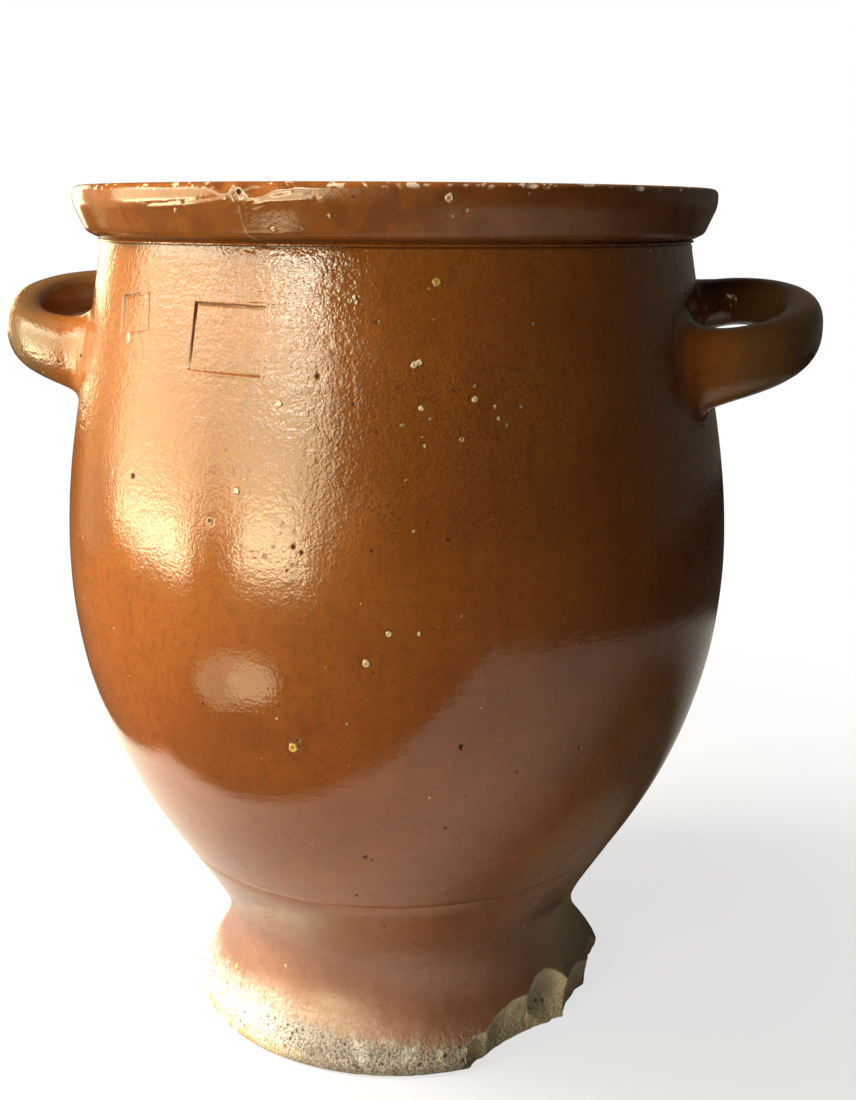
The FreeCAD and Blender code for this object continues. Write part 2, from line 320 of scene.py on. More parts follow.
SHEET_WAY, SHEET_EDGE, SHEET_LEFT, SHEET_END = (1.0, 1.0, 0.0), -0.212, -0.272, 0.62
SHEET_COLOR = (0.37, 0.37, 0.37)
# Painted light on the sheet: lighter to the left, where more light falls, and lighter round SHADE_PLACE, in
# the pot's shadow at its right.
SHEET_LEFT_PAINTED_LIGHT, SHADOW_PAINTED_LIGHT = (0.72, 0.70, 0.68), (0.85, 0.82, 0.82)
SHADE_PLACE = (0.135, -0.015, 0.0)
GROUND_COLOR = (0.04, 0.04, 0.036)
FADE_START, FADE_END, FADE_LEAST = 0.16, 0.62, 0.70


def outwards(azimuth):
    """Unit vector away from the axis at an azimuth in degrees, or an array of them."""
    turn = np.radians(azimuth)
    return np.stack([np.sin(turn), -np.cos(turn), np.zeros_like(turn)], axis=-1)


def azimuth_of(points):
    return np.degrees(np.arctan2(points[..., 0], -points[..., 1]))


def radius_of(points):
    return np.hypot(points[..., 0], points[..., 1])


def smoothstep(low, high, value):
    share = np.clip((value - low) / (high - low), 0.0, 1.0)
    return share * share * (3.0 - 2.0 * share)


def bell(value, middle=0.0, reach=1.0):
    """1 at the middle, falling to about a third at the reach on both sides."""
    return np.exp(-(((value - middle) / reach) ** 2))


# Camera


def make_camera():
    data = bpy.data.cameras.new("camera")
    data.sensor_width = SENSOR_LONG_SIDE_MM
    data.lens = FOCAL_PIXELS / PICTURE_HEIGHT * SENSOR_LONG_SIDE_MM
    data.shift_x = (PICTURE_WIDTH / 2 - CENTRE_PIXEL_X) / PICTURE_HEIGHT
    data.shift_y = (CENTRE_PIXEL_Y - PICTURE_HEIGHT / 2) / PICTURE_HEIGHT
    data.clip_start = 0.01
    camera = bpy.data.objects.new("camera", data)
    bpy.context.scene.collection.objects.link(camera)
    place = Vector(outwards(CAMERA_AZIMUTH)) * CAMERA_DISTANCE
    camera.location = (place.x, place.y, CAMERA_HEIGHT)
    heading = math.radians(CAMERA_AZIMUTH - CAMERA_TURN_RIGHT)
    pitch = math.radians(CAMERA_PITCH_DOWN)
    ahead = Vector((-math.sin(heading), math.cos(heading), 0)) * math.cos(pitch)
    ahead.z = -math.sin(pitch)
    camera.rotation_mode = "QUATERNION"
    roll = Quaternion((0, 0, 1), math.radians(CAMERA_ROLL))
    camera.rotation_quaternion = ahead.to_track_quat("-Z", "Y") @ roll
    bpy.context.scene.camera = camera


def picture_ray(pixel_x, pixel_y):
    """The way that the camera looks through a pixel of the picture."""
    right = (pixel_x - CENTRE_PIXEL_X) / FOCAL_PIXELS
    up = (CENTRE_PIXEL_Y - pixel_y) / FOCAL_PIXELS
    turn = bpy.context.scene.camera.rotation_quaternion
    return (turn @ Vector((right, up, -1.0))).normalized()


def seen_at(tree, pixel_x, pixel_y):
    """Where the pot's surface is seen at a pixel, and its normal there."""
    start = bpy.context.scene.camera.location
    point, normal, _, _ = tree.ray_cast(start, picture_ray(pixel_x, pixel_y))
    return point, normal


def places_of(tree, pixels):
    return [seen_at(tree, *pixel)[0] for pixel in pixels]


# Section of the pot, as arrays of (radius, height)


def line(start, end, count=60):
    share = np.linspace(0, 1, count)[:, None]
    return np.array(start) * (1 - share) + np.array(end) * share


def spline(points, start_way, end_way, count=60):
    """The smooth curve through points that leaves and arrives in the two ways given."""
    knots = np.array(points)
    chords = np.linalg.norm(np.diff(knots, axis=0), axis=1)
    last = len(chords)
    matrix = np.eye(last + 1)
    wanted = np.zeros_like(knots)
    wanted[0] = np.array(start_way) / np.linalg.norm(start_way)
    wanted[last] = np.array(end_way) / np.linalg.norm(end_way)
    for i in range(1, last):
        before, after = chords[i - 1], chords[i]
        matrix[i, i - 1 : i + 2] = after, 2 * (before + after), before
        steps = knots[i] - knots[i - 1], knots[i + 1] - knots[i]
        wanted[i] = 3 * (steps[0] * after / before + steps[1] * before / after)
    slopes = np.linalg.solve(matrix, wanted)
    pieces = []
    for i in range(last):
        s = np.linspace(0, 1, count)[:, None]
        pieces.append(
            knots[i] * (1 + 2 * s) * (1 - s) ** 2
            + slopes[i] * chords[i] * s * (1 - s) ** 2
            + knots[i + 1] * s**2 * (3 - 2 * s)
            + slopes[i + 1] * chords[i] * s**2 * (s - 1)
        )
    return np.concatenate(pieces)


def rounded(before, point, after, radius, count=24):
    """The arc that rounds a corner of the section."""
    before, point, after = (np.array(p) for p in (before, point, after))
    to_before = (before - point) / np.linalg.norm(before - point)
    to_after = (after - point) / np.linalg.norm(after - point)
    half = math.acos(float(to_before @ to_after)) / 2
    inwards = (to_before + to_after) / np.linalg.norm(to_before + to_after)
    centre = point + inwards * radius / math.sin(half)
    start = point + to_before * radius / math.tan(half) - centre
    end = point + to_after * radius / math.tan(half) - centre
    return centre + swing(start, end, count)


def swing(start, end, count):
    """Turns one radius vector into another, as an arc about the origin."""
    angle = math.acos(float(start @ end) / float(start @ start))
    s = np.linspace(0, 1, count)[:, None]
    return (np.sin((1 - s) * angle) * start + np.sin(s * angle) * end) / math.sin(angle)


def outside_belly():
    return spline(BELLY_STATIONS, (0, 1), NECK_WAY, 120)


def inside_belly():
    """The inside of the wall, one wall in from the outside."""
    outside = outside_belly()
    outside = outside[np.append(True, np.linalg.norm(np.diff(outside, axis=0), axis=1) > 1e-7)]
    way = np.gradient(outside, axis=0)
    way /= np.linalg.norm(way, axis=1)[:, None]
    return outside + np.stack([-way[:, 1], way[:, 0]], axis=1) * WALL


def outside_path():
    """The outside, from the edge of the standing ring up to the mouth."""
    sweep = np.linspace(0, math.pi / 2, 16)[:, None]
    foot_edge = np.hstack(
        [BASE_R + (FOOT_R - BASE_R) * np.sin(sweep), FOOT_EDGE_Z * (1 - np.cos(sweep))]
    )
    flare = spline([(FOOT_R, FOOT_EDGE_Z), (FLARE_R, FLARE_Z), (WAIST_R, WAIST_Z)], FOOT_WAY, (0, 1))
    bulge = np.linspace(0, math.pi, 12)[:, None]
    bead_height = (BEAD_TOP_Z - NECK_Z) / 2
    bead = np.hstack([NECK_R + BEAD_PROUD * np.sin(bulge), NECK_Z + bead_height * (1 - np.cos(bulge))])
    under = (NECK_R, BEAD_TOP_Z)
    low = (RIM_LOW_R, BEAD_TOP_Z + RIM_UNDERSIDE_RISE)
    bend = (RIM_TOP_R, TOP_Z - RIM_UPRIGHT_HEIGHT)
    top = (RIM_TOP_R, TOP_Z)
    mouth_r = inside_belly()[-1][0]
    corners = [under, low, bend, top, (mouth_r, TOP_Z), (mouth_r, NECK_Z)]
    rounds = (RIM_LOW_ROUND, RIM_UPRIGHT_BEND, RIM_EDGE_ROUND, RIM_INNER_ROUND)
    rim = [rounded(*corners[i : i + 3], radius) for i, radius in enumerate(rounds)]
    return np.concatenate([foot_edge, flare, outside_belly(), bead, *rim])


def inside_path():
    """The inside, from the mouth down to the edge of the floor."""
    wall = inside_belly()[::-1]
    turn = wall[-1][1] - FLOOR_Z
    sweep = np.linspace(0, math.pi / 2, 16)[1:, None]
    bend = [wall[-1][0] - turn * (1 - np.cos(sweep)), FLOOR_Z + turn * (1 - np.sin(sweep))]
    return np.concatenate([wall, np.hstack(bend)])


def walk(path, step_at):
    """Points along a path whose spacing is step_at(radius, height)."""
    lengths = np.append(0, np.cumsum(np.linalg.norm(np.diff(path, axis=0), axis=1)))
    stops = [0.0]
    while stops[-1] < lengths[-1]:
        radius = np.interp(stops[-1], lengths, path[:, 0])
        height = np.interp(stops[-1], lengths, path[:, 1])
        stops.append(stops[-1] + step_at(radius, height))
    stops = np.array(stops) * lengths[-1] / stops[-1]
    return np.stack([np.interp(stops, lengths, path[:, k]) for k in (0, 1)], axis=1)


def outside_step(radius, height):
    """Spacing of the rings on the outside, finer where there is more to show."""
    if height < WAIST_Z:
        return FOOT_STEP
    if abs(height - INCISED_Z) < INCISED_REACH:
        return INCISED_STEP
    if radius > NECK_R - 0.001 and NECK_Z - 0.0015 < height < BEAD_TOP_Z + 0.001:
        return BEAD_STEP
    if height > NECK_Z - 0.001:
        return RIM_STEP if radius > RIM_INSIDE_R else MOUTH_STEP
    return SHOULDER_STEP if height > SHOULDER_STEP_Z else BELLY_STEP


def section_rows():
    """Every ring of the pot, from the middle of its underside round to the middle of its floor."""
    ring_inner = BASE_R - BASE_RING_WIDTH
    dish = line((0, BASE_DISH_DEPTH), (ring_inner, 0), DISH_RINGS)[1:]
    ring = line((ring_inner, 0), (BASE_R, 0), STAND_RINGS)[1:-1]
    outside = walk(outside_path(), outside_step)
    inside = walk(inside_path(), lambda radius, height: INSIDE_STEP)
    floor = line(inside[-1], (0, FLOOR_Z), FLOOR_RINGS)[1:-1]
    return np.concatenate([dish, ring, outside, inside[1:], floor])


def column_azimuths():
    """Where the pot's columns stand: closer together on the side that faces the camera."""
    turn = np.linspace(-180, 180, TURN_SAMPLES)
    from_camera = np.abs((turn - CAMERA_AZIMUTH + 180) % 360 - 180)
    density = 1.0 + COLUMN_CROWDING * (1 - smoothstep(*CROWDED_WITHIN, from_camera))
    total = np.append(0, np.cumsum((density[1:] + density[:-1]) / 2))
    return np.interp(np.arange(COLUMNS) * total[-1] / COLUMNS, total, turn)


def mesh_object(name, points, faces):
    mesh = bpy.data.meshes.new(name)
    mesh.from_pydata([tuple(p) for p in points], [], faces)
    mesh.update()
    made = bpy.data.objects.new(name, mesh)
    bpy.context.scene.collection.objects.link(made)
    return made


def rings_mesh(name, rings, first_pole=None, last_pole=None):
    """A closed mesh over rings of points, with a pole or a flat cap at each end."""
    columns = len(rings[0])
    points = [p for ring in rings for p in ring]
    top = len(points) - columns
    pairs = [(column, (column + 1) % columns) for column in range(columns)]
    faces = []
    for low in range(0, top, columns):
        high = low + columns
        faces += [(low + here, low + after, high + after, high + here) for here, after in pairs]
    if first_pole is None:
        faces += [tuple(reversed(range(columns))), tuple(range(top, top + columns))]
        return mesh_object(name, points, faces)
    first, last = len(points), len(points) + 1
    for here, after in pairs:
        faces += [(first, after, here), (top + here, top + after, last)]
    return mesh_object(name, [*points, first_pole, last_pole], faces)


def vessel_object():
    ways = outwards(column_azimuths())
    rings = [ways * radius + np.array((0, 0, height)) for radius, height in section_rows()]
    return rings_mesh("pot", rings, (0, 0, BASE_DISH_DEPTH), (0, 0, FLOOR_Z))


# The handles


def between(start, end, share):
    return start + (end - start) * share


def strap_ring(travel, root_x, bend_x, side):
    """One ring of a handle's strap, at a distance along it from its middle."""
    way = math.copysign(1, travel)
    half_bend = HANDLE_HALF_SPAN * math.pi / 2
    straight = max(abs(travel) - half_bend, 0)
    turn = (abs(travel) - straight) / HANDLE_HALF_SPAN
    from_root = half_bend + bend_x - root_x - abs(travel)
    flare = math.exp(-max(from_root, 0) / ROOT_SMEAR)
    share = 0.5 + way * math.sin(turn) / 2
    centre_x = bend_x + HANDLE_HALF_SPAN * math.cos(turn) - straight
    centre_z = between(HANDLE_FRONT_Z, HANDLE_BACK_Z, share) + HANDLE_RISE * math.cos(turn)
    centre = np.array((centre_x, way * HANDLE_HALF_SPAN * math.sin(turn), centre_z - ROOT_DROOP * flare))
    strap_height = between(STRAP_FRONT_HEIGHT, STRAP_BACK_HEIGHT, share)
    root_height = between(ROOT_FRONT_HEIGHT, ROOT_BACK_HEIGHT, share)
    thickness = between(STRAP_THICKNESS, ROOT_THICKNESS, flare)
    height = between(strap_height, root_height, flare)
    angle = np.linspace(0, 2 * math.pi, STRAP_SIDES, endpoint=False)
    across, along = np.cos(angle), np.sin(angle)
    across = np.copysign(np.abs(across) ** STRAP_ROUNDNESS, across) * thickness / 2
    along = np.copysign(np.abs(along) ** STRAP_ROUNDNESS, along) * height / 2
    outward = np.array((math.cos(turn), way * math.sin(turn), 0.0))
    points = centre + across[:, None] * outward + along[:, None] * np.array((0, 0, 1.0))
    points[:, 0] *= side
    return points


def handle_object(side):
    root_z = (HANDLE_FRONT_Z + HANDLE_BACK_Z) / 2
    outside = outside_belly()
    wall_r = np.interp(root_z, outside[:, 1], outside[:, 0])
    root_x = math.sqrt(wall_r**2 - HANDLE_HALF_SPAN**2)
    bend_x = HANDLE_REACH - STRAP_THICKNESS / 2 - HANDLE_HALF_SPAN
    reach = HANDLE_HALF_SPAN * math.pi / 2 + bend_x - root_x + ROOT_SINK
    travels = np.linspace(-reach, reach, STRAP_RINGS)
    rings = [strap_ring(travel, root_x, bend_x, side) for travel in travels]
    return rings_mesh("handle", rings)


def tree_of(piece, turn_outwards=False):
    """A tree of the piece's faces, which can be turned to face outwards first."""
    work = bmesh.new()
    work.from_mesh(piece.data)
    if turn_outwards:
        bmesh.ops.recalc_face_normals(work, faces=work.faces)
        work.to_mesh(piece.data)
    tree = BVHTree.FromBMesh(work)
    work.free()
    return tree


def union(piece, other):
    step = piece.modifiers.new("union", "BOOLEAN")
    step.operation = "UNION"
    step.solver = "EXACT"
    step.object = other
    merged = bpy.data.meshes.new_from_object(
        piece.evaluated_get(bpy.context.evaluated_depsgraph_get())
    )
    piece.modifiers.clear()
    piece.data = merged
    bpy.data.objects.remove(other)


def distance_and_way(tree, point):
    """Signed distance from a surface, positive outside it, and the way it grows."""
    near, normal, _, gap = tree.find_nearest(point)
    signed = math.copysign(gap, (point - near).dot(normal))
    way = (point - near) / signed if gap > 1e-6 else normal
    return signed, way


def soften_roots(piece, wall_tree, handle_trees):
    """Smears the clay where the handles meet the wall, as a smooth union of the two."""
    for vertex in piece.data.vertices:
        point = vertex.co.copy()
        if not ROOTS_LOW_Z <= point.z <= ROOTS_TOP_Z or abs(point.x) < ROOTS_INNER_X:
            continue
        tree = handle_trees[0] if point.x > 0 else handle_trees[1]
        for _ in range(ROOT_BLEND_STEPS):
            wall_gap, wall_way = distance_and_way(wall_tree, point)
            strap_gap, strap_way = distance_and_way(tree, point)
            apart = abs(wall_gap - strap_gap)
            if apart >= ROOT_BLEND or wall_gap < ROOT_BLEND_DEEPEST:
                break
            overlap = (ROOT_BLEND - apart) / ROOT_BLEND
            level = min(wall_gap, strap_gap) - overlap * overlap * ROOT_BLEND / 4
            share = 0.5 + (strap_gap - wall_gap) / (2 * ROOT_BLEND)
            way = strap_way.lerp(wall_way, share)
            if way.length < ROOT_BLEND_LEAST_SLOPE:
                break
            point -= way * (level / way.length_squared) * ROOT_BLEND_STEP
        vertex.co = point


# Detail in the surface


def coordinates(piece):
    points = np.empty(len(piece.data.vertices) * 3)
    piece.data.vertices.foreach_get("co", points)
    return points.reshape(-1, 3)


def refine(piece, wanted, longest):
    """Halves the edges of the faces that are wanted until none is longer than longest.

    The test gets the middles of faces and how far each reaches from its middle.
    """
    work = bmesh.new()
    work.from_mesh(piece.data)
    faces = list(work.faces)
    while True:
        middles = np.array([f.calc_center_median() for f in faces])
        spans = np.array([0.6 * max(e.calc_length() for e in f.edges) for f in faces])
        chosen = np.flatnonzero(wanted(middles, spans))
        edges = {e for i in chosen for e in faces[i].edges if e.calc_length() > longest}
        if not edges:
            break
        made = bmesh.ops.subdivide_edges(work, edges=list(edges), cuts=1, use_grid_fill=True)
        halves = [e for e in made["geom"] if isinstance(e, bmesh.types.BMEdge)]
        faces = list({f for e in halves for f in e.link_faces})
    work.to_mesh(piece.data)
    work.free()


def near_any(places, reaches):
    """A test for the middles that lie within reach of one of the places."""

    def test(middles, spans):
        near = np.zeros(len(middles), bool)
        for place, reach in zip(places, np.broadcast_to(reaches, len(places))):
            near |= np.linalg.norm(middles - np.array(place), axis=1) < reach + spans
        return near

    return test


def near_press_edges(presses, margin):
    def test(middles, spans):
        near = np.zeros(len(middles), bool)
        for centre, width, tall, _, _ in presses:
            away = np.abs(middles - np.array(centre))
            edge = np.maximum(radius_of(away) - width / 2, away[:, 2] - tall / 2)
            near |= (edge < margin + spans) & (edge > -3 * margin - spans)
        return near

    return test


def refine_for_detail(piece, spots, lines, presses, wrinkles, nicks):
    """Makes the mesh finer at the pressed squares, the wrinkles, the nicks and the blemishes."""
    refine(piece, near_faint_line, FAINT_LINE_EDGE)
    refine(piece, near_press_edges(presses, PRESS_REACH), PRESS_EDGE)
    folds = [p for ends in wrinkles for p in spread(ends, WRINKLE_SPACING)]
    refine(piece, near_any(folds, WRINKLE_REACH), WRINKLE_EDGE)
    places = [place for place, _, _, _ in spots] + [edge for edge, _, _ in nicks]
    sizes = [radius for _, _, radius, _ in spots] + [reach for _, _, reach in nicks]
    refine(piece, near_any(places, SPOT_REACH * np.array(sizes)), SPOT_EDGE)
    cuts = [p for ends, _ in lines for p in spread(ends, CUT_SPACING)]
    refine(piece, near_any(cuts, CUT_REACH), CUT_EDGE)


def spread(ends, step):
    """Points every step or less along a line through the given points."""
    points = []
    for start, end in zip(ends, ends[1:]):
        count = max(2, int((end - start).length / step) + 2)
        points += [start.lerp(end, i / (count - 1)) for i in range(count)]
    return points


def near_flakes(middles, spans):
    height, radius = middles[:, 2], radius_of(middles)
    scar = scar_radius(azimuth_of(middles), height)
    return (height < FOOT_TOP_Z) & (radius > FOOT_INNER_R) & (scar - radius < SCAR_MARGIN)


def faint_line(points):
    """How far points lie above the fainter line, and their share of the way along it."""
    (first, first_z), (last, last_z) = FAINT_LINE_START, FAINT_LINE_END
    share = (azimuth_of(points) - first) / (last - first)
    return points[:, 2] - first_z - (last_z - first_z) * share, share


def near_faint_line(middles, spans):
    off, share = faint_line(middles)
    near = np.abs(off) < FAINT_LINE_REACH + spans
    return near & (share > 0) & (share < 1) & (radius_of(middles) > FAINT_LINE_INNER_R)


def near_roots(middles, spans):
    """The wall beside the handles, where their roots are smeared over it."""
    beside = (np.abs(middles[:, 1]) < FINE_WALL_Y) & (np.abs(middles[:, 0]) > FINE_WALL_X)
    level = (middles[:, 2] > FINE_WALL_Z) & (middles[:, 2] < NECK_Z - 0.001)
    return beside & level & (radius_of(middles) < FINE_WALL_R)


def soft_noise(points, size, seed):
    """Smooth noise from about -1 to 1 whose lumps are about size across."""
    shift = Vector((seed * 7.1, seed * 3.7, seed * 5.3))
    return np.array([noise.noise(Vector(p) / size + shift) for p in points])


def flake_radius(azimuth, height, flake):
    """Radius of one scar's surface at each azimuth and height, infinite where it misses."""
    centre_azimuth, centre_height, ball, depth = flake
    reach = FOOT_R + ball - depth
    turn = np.radians(azimuth - centre_azimuth)
    inside = ball**2 - (height - centre_height) ** 2 - (reach * np.sin(turn)) ** 2
    radius = reach * np.cos(turn) - np.sqrt(np.maximum(inside, 0))
    return np.where((inside > 0) & (np.cos(turn) > 0), radius, np.inf)


def scar_radius(azimuth, height):
    """Radius of the foremost scar at each azimuth and height."""
    return np.min([flake_radius(azimuth, height, flake) for flake in FOOT_FLAKES], axis=0)


def chip_foot(points):
    """Breaks the flakes out of the foot. Returns the depth of clay lost at each point."""
    radius, azimuth, height = radius_of(points), azimuth_of(points), points[:, 2]
    low = height < FOOT_TOP_Z
    rough = np.zeros(len(points))
    first, last = SCAR_AZIMUTHS
    near = low & (azimuth > first) & (azimuth < last) & (radius > 0.06)
    for amount, size, seed in SCAR_ROUGHNESS:
        rough[near] += amount * soft_noise(points[near], size, seed)
    rough = np.minimum(rough, SCAR_ROUGHEST)
    scar = scar_radius(azimuth, height) + rough
    ground_scar = scar_radius(azimuth, 0.0) + rough
    underside = low & (radius < BASE_R - 1e-6) & (height < BASE_DISH_DEPTH + 1e-6)
    side = low & ~underside & (height < FLOOR_Z - 0.001) | low & (radius > FOOT_INNER_R)
    kept = radius.copy()
    kept[side] = np.minimum(radius, scar)[side]
    kept[underside] = (radius * np.minimum(1.0, ground_scar / BASE_R))[underside]
    points[:, :2] *= (kept / np.maximum(radius, 1e-9))[:, None]
    return np.where(side, radius - kept, 0.0)


def incise(points):
    """Cuts the groove under the bead, and the two lines round the belly's foot."""

    def cut(off, chosen, depth):
        near = (np.abs(off) < 3) & chosen
        sink(points, near, (depth * bell(off))[near])

    off = (points[:, 2] - INCISED_Z) / INCISED_HALF_WIDTH
    cut(off, radius_of(points) > INCISED_INNER_R, INCISED_DEPTH)
    off = (points[:, 2] - NECK_Z) / BEAD_GROOVE_HALF_WIDTH
    cut(off, wall_share(points) > 0.5, BEAD_GROOVE_DEPTH)
    off, share = faint_line(points)
    rising, falling = FAINT_LINE_ENDS
    ends = smoothstep(0.0, rising, share) * (1 - smoothstep(falling, 1.0, share))
    along = (share > 0) & (share < 1) & (radius_of(points) > FAINT_LINE_INNER_R)
    cut(off / INCISED_HALF_WIDTH, along, FAINT_LINE_DEPTH * ends)


def wall_share(points):
    """1 where a point lies on the thrown wall's outside, and 0 on a handle or inside."""
    outside = outside_path()
    rising = outside[np.append(True, np.diff(outside[:, 1]) > 1e-9)]
    expected = np.interp(points[:, 2], rising[:, 1], rising[:, 0])
    return 1 - smoothstep(0.0015, 0.0040, np.abs(radius_of(points) - expected))


def sink(points, chosen, depth):
    """Moves points towards the axis by a depth in metres."""
    radius = radius_of(points[chosen])
    points[chosen, :2] *= ((radius - depth) / radius)[:, None]


def unevenness(points):
    """How far the thrown wall falls short of a true turned shape, all round and up."""
    turn = np.arctan2(points[:, 1], points[:, 0])
    around = np.stack([np.cos(turn) * BELLY_R, np.sin(turn) * BELLY_R, points[:, 2]], axis=1)
    slow = soft_noise(around, SLOW_SIZE, 1)
    ripple = soft_noise(around * np.array((1.0, 1.0, 0.7)), RIPPLE_SIZE, 2)
    bands = soft_noise(around * np.array((0.12, 0.12, 1.0)), BAND_SIZE, 4)
    low = 1 - smoothstep(0.05, 0.16, points[:, 2])
    fade = smoothstep(0.0, 0.02, points[:, 2])
    depth = UNEVEN_MEAN + UNEVEN_SLOW * slow + UNEVEN_RIPPLE * ripple
    depth += (UNEVEN_BANDS + UNEVEN_LOW_BANDS * low) * bands
    return np.clip(depth, 0, UNEVEN_MOST) * fade


def add_runs(points):
    """Runs and a lip in the glaze round the foot, just above where it ends."""
    near = (points[:, 2] > 0.006) & (points[:, 2] < 0.036) & (radius_of(points) > 0.078)
    place = points[near]
    lip_z = LIP_Z + LIP_WAVE * soft_noise(place * np.array((1, 1, 0)), 0.030, 8)
    lip = bell(place[:, 2], lip_z, 0.0013) * bell(azimuth_of(place), LIP_AZIMUTH, 24)
    runs = np.clip(soft_noise(place * np.array((1.0, 1.0, 0.16)), 0.0050, 9), 0, 1)
    below = 1 - smoothstep(0.0, 0.008, np.abs(place[:, 2] - RUNS_Z))
    sink(points, near, -LIP_HEIGHT * lip - RUN_HEIGHT * runs * below)


def crumble(points):
    """Grain in the crust at the bottom of the foot."""
    near = (points[:, 2] < CRUST_TOP_Z) & (radius_of(points) > 0.085)
    grain = 0.5 + 0.5 * soft_noise(points[near], 0.0034, 11)
    fade = 1 - smoothstep(CRUST_TOP_Z / 2, CRUST_TOP_Z, points[near, 2])
    sink(points, near, CRUST_GRAIN * grain * fade)


def show(mask, near, values):
    """Raises a mask to the values at the points that are near."""
    mask[near] = np.maximum(mask[near], values)


def press_squares(points, presses, masks):
    """Presses plain squares into the wall, and paints shadow into their edges, darkest along the upper and
    left edges.
    """
    for place, width, tall, lean, depth in presses:
        centre, tilt = np.array(place), math.radians(lean)
        across = np.radians(azimuth_of(points) - azimuth_of(centre)) * radius_of(centre)
        up = points[:, 2] - centre[2]
        near = (np.abs(across) < width) & (np.abs(up) < tall) & (wall_share(points) > 0.5)
        across, up = across[near], up[near]
        side = across * math.cos(tilt) + up * math.sin(tilt)
        rise = up * math.cos(tilt) - across * math.sin(tilt)
        past_side, past_top = np.abs(side) - width / 2, np.abs(rise) - tall / 2
        edge = np.maximum(past_side, past_top) / PRESS_RIM_WIDTH
        panel = 1 - smoothstep(-1.0, 0.0, edge)
        groove, lip = bell(edge, -0.5, 0.38), bell(edge, 0.4, 0.40)
        upper_left = np.clip(0.5 - 0.5 * (side / width - rise / tall), 0, 1)
        left = (past_side > past_top) & (side < 0)
        top = (past_side <= past_top) & (rise > 0)
        corner = upper_left**2 * (0.9 * left + 0.35 * top)
        shape = 0.14 * panel + groove * (0.10 + corner) - 0.16 * lip * (1 - upper_left)
        sink(points, near, depth * shape)
        # Painted shadow: darkens the edges of each square, most along the upper and left sides, in the mask
        # that also paints pits.
        shadow = np.clip(groove * (0.12 + 1.3 * upper_left**2.5 * (left | top)), 0, 1)
        show(masks["pit"], near, 0.85 * shadow * (depth / PRESS_DEEPEST))


def spot_shape(kind, gap):
    """Height of a blemish, counted in its radius, at a distance counted in its radii."""
    if kind == "pit":
        return -1.1 * np.exp(-(gap**2) * 1.6)
    if kind == "stain":
        return -0.05 * bell(gap)
    crater_rim, moat = bell(gap, 0.80, 0.20), bell(gap, 1.20, 0.25)
    if kind == "ring":
        return 0.25 * crater_rim - 0.45 * bell(gap, 0.0, 0.45) - 0.10 * moat
    return 0.16 * (1 - smoothstep(0.80, 1.05, gap)) + 0.10 * crater_rim - 0.12 * moat


def spot_colors(kind, radius, gap, wobble, away):
    """How strongly each mask shows a blemish at the points near it."""
    inside = 1 - smoothstep(0.75, 1.10, gap)
    if kind == "pit":
        return {"pit": 1 - smoothstep(0.6, 1.3, gap)}
    if kind == "stain":
        return {"pit": 0.30 * inside}
    if kind == "ring":
        return {"pit": 0.9 * bell(gap, 0.0, 0.5), "grain": 0.5 * bell(gap, 0.8, 0.25)}
    # Small grains: the pale grain on one side, and painted shadow on the other side in the dark blemish
    # mask.
    if kind == "grain" and radius < SPLIT_GRAIN_RADIUS:
        side = away @ (outwards(CAMERA_AZIMUTH + 90.0) * math.copysign(1 / radius, wobble.sum()))
        return {
            "grain": 1.1 * inside * smoothstep(-0.3, 0.2, side),
            "pit": 0.9 * inside * smoothstep(-0.1, -0.5, side),
        }
    rim = bell(gap, 0.80, 0.28)
    return {kind: np.clip(inside * (0.42 + 0.45 * wobble) + 0.8 * rim * inside, 0, 1)}


def add_spots(points, spots, masks):
    """Raises grains and sinks pits, and notes in the masks where each shows."""
    for number, (place, normal, radius, kind) in enumerate(spots):
        gap = np.linalg.norm(points - np.array(place), axis=1) / radius
        near = np.flatnonzero(gap < 2.5)
        wobble = soft_noise(points[near], radius * 0.9, 20 + number)
        gap = gap[near] * (1 + 0.30 * wobble)
        points[near] += np.outer(spot_shape(kind, gap) * radius, np.array(normal))
        away = points[near] - np.array(place)
        for name, values in spot_colors(kind, radius, gap, wobble, away).items():
            show(masks[name], near, values)


def gap_to_line(points, ends):
    """Distance of points from a line through the given ends."""
    gap = np.full(len(points), np.inf)
    for start, end in zip(ends, ends[1:]):
        along = np.array(end - start)
        away = points - np.array(start)
        share = np.clip(away @ along / (along @ along), 0, 1)
        gap = np.minimum(gap, np.linalg.norm(away - share[:, None] * along, axis=1))
    return gap


def add_lines(points, lines, masks):
    """Notes where scratches and the hairline crack show pale."""
    for ends, half_width in lines:
        gap = gap_to_line(points, ends)
        near = gap < 4 * half_width
        show(masks["grain"], near, 0.8 * bell(gap[near], 0.0, half_width))


def add_wrinkles(points, wrinkles):
    """Raises soft ridges on the rim."""
    gap = np.min([gap_to_line(points, ends) for ends in wrinkles], axis=0)
    height = bell(gap, 0.0, WRINKLE_HALF_WIDTH)
    near = height > 0.02
    sink(points, near, WRINKLE_HEIGHT * (0.35 - height[near]))


def edge_nicks(tree):
    """The small nicks along the rim's edge: place on the edge, ball that cuts it, and reach."""
    nicks = []
    for pixel_x, half_length in RIM_EDGE_NICKS:
        place, _ = seen_at(tree, pixel_x, RIM_EDGE_PIXEL_Y)
        out = outwards(azimuth_of(np.array(place)))
        reach = half_length * METRES_PER_PIXEL
        depth = NICK_DEPTH_SHARE * reach + NICK_LEAST_DEPTH
        ball = (reach**2 + depth**2) / (2 * depth)
        edge = out * (RIM_TOP_R - NICK_INSET) + np.array((0, 0, TOP_Z - NICK_INSET))
        way = out * NICK_OUT + np.array((0, 0, NICK_UP))
        nicks.append((edge, (edge + way * (ball - depth), ball), reach))
    return nicks


def knock_out(points, balls, lost):
    """Presses the points that lie inside each ball out to its surface."""
    for centre, ball in balls:
        away = points - centre
        gap = np.linalg.norm(away, axis=1)
        hit = gap < ball
        points[hit] = centre + away[hit] * (ball / gap[hit])[:, None]
        lost[hit] = np.maximum(lost[hit], ball - gap[hit])


